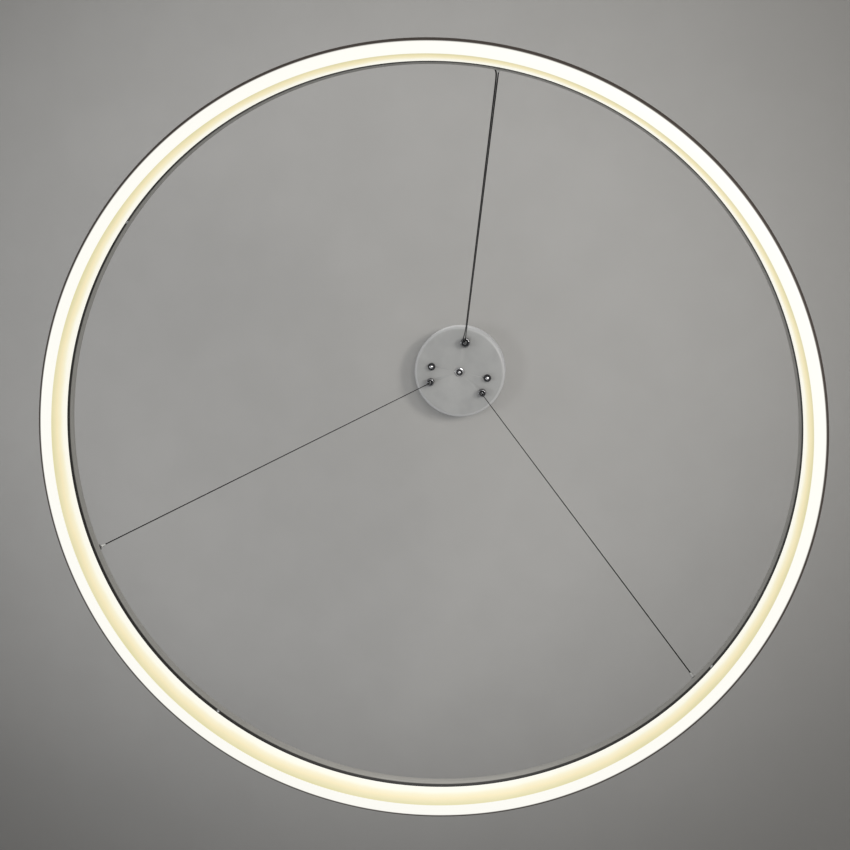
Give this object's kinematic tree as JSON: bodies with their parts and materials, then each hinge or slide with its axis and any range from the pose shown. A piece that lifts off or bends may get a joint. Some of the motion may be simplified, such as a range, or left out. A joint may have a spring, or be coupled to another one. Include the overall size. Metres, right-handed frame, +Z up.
{
  "type": "led ring chandelier",
  "caption": "Lit ring with a translucent lens below and inside it, hung by slanting steel ropes with push-button grippers from a round ceiling canopy.",
  "frame": {"origin": "centre of the canopy's face against the ceiling", "axes": "+Z up, out of the face against the ceiling; +Y from the middle to rope 1, the rope with the power lead beside it"},
  "size_m": [0.8, 0.8, 0.71],
  "materials": {
    "canopy_paint": "satin light grey",
    "zinc_steel": "zinc plated",
    "chrome": "bright plated",
    "brass": "turned",
    "rope_steel": "stranded wire",
    "stop_metal": "pressed sleeve",
    "white_plastic": "moulded",
    "circuit_board": "lacquered",
    "black_lead": "smooth jacket",
    "wire_plastic": "smooth jacket",
    "frame_aluminium": "satin",
    "opal_lens": "translucent, lit",
    "board_white": "solder mask",
    "chip_yellow": "phosphor",
    "link_white": "moulded",
    "black_rubber": "matt"
  },
  "bodies": {
    "canopy": {"ceiling_bracket": "zinc_steel", "bracket_studs": "zinc_steel", "stud_locknuts": "zinc_steel", "canopy_cover": "canopy_paint", "cap_nut_washers": "white_plastic", "cap_nuts": "chrome", "centre_plug": "chrome", "centre_nut": "zinc_steel", "cage_plugs": "brass", "driver_case": "white_plastic", "driver_lid": "white_plastic", "driver_screws": "zinc_steel", "driver_board": "circuit_board", "terminal_block": "white_plastic", "terminal_screws": "brass", "earth_screw": "zinc_steel", "input_leads": "wire_plastic", "output_lead": "black_lead", "power_lead": "black_lead", "gripper_body_1": "chrome", "gripper_body_2": "chrome", "gripper_body_3": "chrome", "gripper_nut_1": "zinc_steel", "gripper_nut_2": "zinc_steel", "gripper_nut_3": "zinc_steel", "plunger_spring_1": "zinc_steel", "plunger_spring_2": "zinc_steel", "plunger_spring_3": "zinc_steel", "rope_tail_1": "rope_steel", "rope_tail_2": "rope_steel", "rope_tail_3": "rope_steel", "rope_1": "rope_steel", "rope_2": "rope_steel", "rope_3": "rope_steel"},
    "ring": {"ring_frame": "frame_aluminium", "diffuser": "opal_lens", "diffuser_screws": "zinc_steel", "splice_key": "frame_aluminium", "splice_screws": "zinc_steel", "led_board_1": "board_white", "led_board_2": "board_white", "led_board_3": "board_white", "led_board_4": "board_white", "led_chips": "chip_yellow", "board_screws": "zinc_steel", "board_links": "link_white", "rope_anchors": "chrome", "anchor_nuts": "zinc_steel", "rope_stops": "stop_metal", "lead_grommet": "black_rubber", "ring_lead": "black_lead"},
    "plunger_1": {"plunger_1": "chrome", "grip_jaws_1": "brass"},
    "plunger_2": {"plunger_2": "chrome", "grip_jaws_2": "brass"},
    "plunger_3": {"plunger_3": "chrome", "grip_jaws_3": "brass"}
  },
  "joints": [
    {"name": "ring_height", "type": "slide", "parent": "canopy", "child": "ring", "axis": [0, 0, 1], "range_m": [0, 0.3], "deforming": ["rope_1", "rope_2", "rope_3", "power_lead"]},
    {"name": "release_1", "type": "slide", "parent": "canopy", "child": "plunger_1", "axis": [0, 0, 1], "range_m": [0, 0.0024], "stiffness_N_per_m": 600, "springref_m": -0.004, "deforming": ["plunger_spring_1"]},
    {"name": "release_2", "type": "slide", "parent": "canopy", "child": "plunger_2", "axis": [0, 0, 1], "range_m": [0, 0.0024], "stiffness_N_per_m": 600, "springref_m": -0.004, "deforming": ["plunger_spring_2"]},
    {"name": "release_3", "type": "slide", "parent": "canopy", "child": "plunger_3", "axis": [0, 0, 1], "range_m": [0, 0.0024], "stiffness_N_per_m": 600, "springref_m": -0.004, "deforming": ["plunger_spring_3"]}
  ]
}
